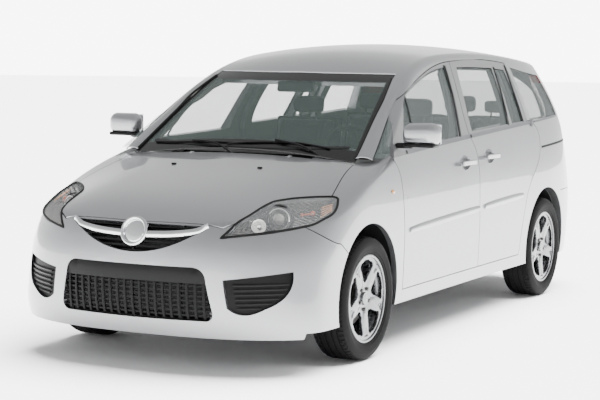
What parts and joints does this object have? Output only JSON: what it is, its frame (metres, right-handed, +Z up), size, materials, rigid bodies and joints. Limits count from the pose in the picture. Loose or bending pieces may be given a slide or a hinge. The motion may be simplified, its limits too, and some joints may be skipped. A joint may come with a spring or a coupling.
{
  "type": "minivan",
  "caption": "Compact minivan with sloping hood, hinged front doors, sliding rear side doors, lift-up tailgate, steered front wheels and a furnished cabin",
  "frame": {"origin": "on the ground under the middle of the car's bounding box", "axes": "+Z up, nose toward -Y, the car's left side on +X"},
  "size_m": [2.064, 4.6047, 1.6164],
  "materials": {
    "silver_paint": "silver metallic paint, glossy",
    "dark_paint": "dark underbody paint",
    "tyre": "black rubber",
    "alloy": "painted silver alloy",
    "cast_iron": "machined",
    "dark_metal": "black painted steel",
    "clear_lens": "clear",
    "glass": "light green tint",
    "lamp_inside": "reflector",
    "red_lens": "red lens",
    "black_plastic": "black, grained",
    "seat_fabric": "dark woven cloth"
  },
  "bodies": {
    "body": {"body_sides": "silver_paint", "cowl_panel": "black_plastic", "dashboard": "black_plastic", "door_frames": "silver_paint", "door_seals": "black_plastic", "engine": "dark_metal", "exhaust": "dark_metal", "fenders": "silver_paint", "floor_pan": "dark_paint", "fog_lamp_inserts": "black_plastic", "front_bumper": "silver_paint", "front_frame": "dark_metal", "front_seats": "seat_fabric", "fuel_tank": "dark_metal", "grilles": "black_plastic", "headlamp_lenses": "clear_lens", "headlamps": "lamp_inside", "rear_axle": "dark_metal", "rear_bumper": "silver_paint", "roof": "silver_paint", "second_row_seats": "seat_fabric", "side_glass": "glass", "sliding_doors": "silver_paint", "tail_lamps": "red_lens", "third_row_seats": "seat_fabric", "wheel_arch_liners": "black_plastic", "windshield": "glass"},
    "front_door_left": {"front_door_left": "silver_paint", "front_door_glass_left": "glass", "door_mirror_left": "silver_paint"},
    "steering_left": {"front_knuckle_left": "dark_metal"},
    "wheel_front_left": {"rim_front_left": "alloy", "tyre_front_left": "tyre", "brake_disc_front_left": "cast_iron"},
    "wheel_rear_left": {"rim_rear_left": "alloy", "tyre_rear_left": "tyre", "brake_disc_rear_left": "cast_iron"},
    "front_door_right": {"front_door_right": "silver_paint", "front_door_glass_right": "glass", "door_mirror_right": "silver_paint"},
    "steering_right": {"front_knuckle_right": "dark_metal"},
    "wheel_front_right": {"rim_front_right": "alloy", "tyre_front_right": "tyre", "brake_disc_front_right": "cast_iron"},
    "wheel_rear_right": {"rim_rear_right": "alloy", "tyre_rear_right": "tyre", "brake_disc_rear_right": "cast_iron"},
    "hood": {"hood": "silver_paint"},
    "tailgate": {"tailgate": "silver_paint", "tailgate_glass": "glass"},
    "steering_wheel": {"steering_wheel": "black_plastic"}
  },
  "joints": [
    {"name": "steer_left", "type": "hinge", "parent": "body", "child": "steering_left", "pos_m": [0.68688, -1.39, 0.3185], "axis": [-0.2405, 0, 0.9706], "range_deg": [-30, 30]},
    {"name": "steer_right", "type": "hinge", "parent": "body", "child": "steering_right", "pos_m": [-0.68688, -1.39, 0.3185], "axis": [0.2405, 0, 0.9706], "range_deg": [-30, 30]},
    {"name": "steering_wheel_turn", "type": "hinge", "parent": "body", "child": "steering_wheel", "pos_m": [0.365, -0.485, 0.985], "axis": [0, 0.8829, 0.4695], "range_deg": [-480, 480]},
    {"name": "wheel_front_left_spin", "type": "hinge", "parent": "steering_left", "child": "wheel_front_left", "pos_m": [0.765, -1.39, 0.3185], "axis": [1, 0, 0], "continuous": true},
    {"name": "wheel_front_right_spin", "type": "hinge", "parent": "steering_right", "child": "wheel_front_right", "pos_m": [-0.765, -1.39, 0.3185], "axis": [1, 0, 0], "continuous": true},
    {"name": "wheel_rear_left_spin", "type": "hinge", "parent": "body", "child": "wheel_rear_left", "pos_m": [0.765, 1.36, 0.3185], "axis": [1, 0, 0], "continuous": true},
    {"name": "wheel_rear_right_spin", "type": "hinge", "parent": "body", "child": "wheel_rear_right", "pos_m": [-0.765, 1.36, 0.3185], "axis": [1, 0, 0], "continuous": true},
    {"name": "front_door_left_hinge", "type": "hinge", "parent": "body", "child": "front_door_left", "pos_m": [0.868, -0.9555, 0.6], "axis": [0, 0, -1], "range_deg": [0, 65]},
    {"name": "front_door_right_hinge", "type": "hinge", "parent": "body", "child": "front_door_right", "pos_m": [-0.868, -0.9555, 0.6], "axis": [0, 0, 1], "range_deg": [0, 65]},
    {"name": "hood_hinge", "type": "hinge", "parent": "body", "child": "hood", "pos_m": [0, -1.196, 1.01], "axis": [-1, 0, 0], "range_deg": [0, 55]},
    {"name": "tailgate_hinge", "type": "hinge", "parent": "body", "child": "tailgate", "pos_m": [0, 1.955, 1.532], "axis": [1, 0, 0], "range_deg": [0, 80]}
  ],
  "couplings": [
    {"joint": "steer_right", "follows": "steer_left", "ratio": 1},
    {"joint": "steering_wheel_turn", "follows": "steer_left", "ratio": 16}
  ]
}
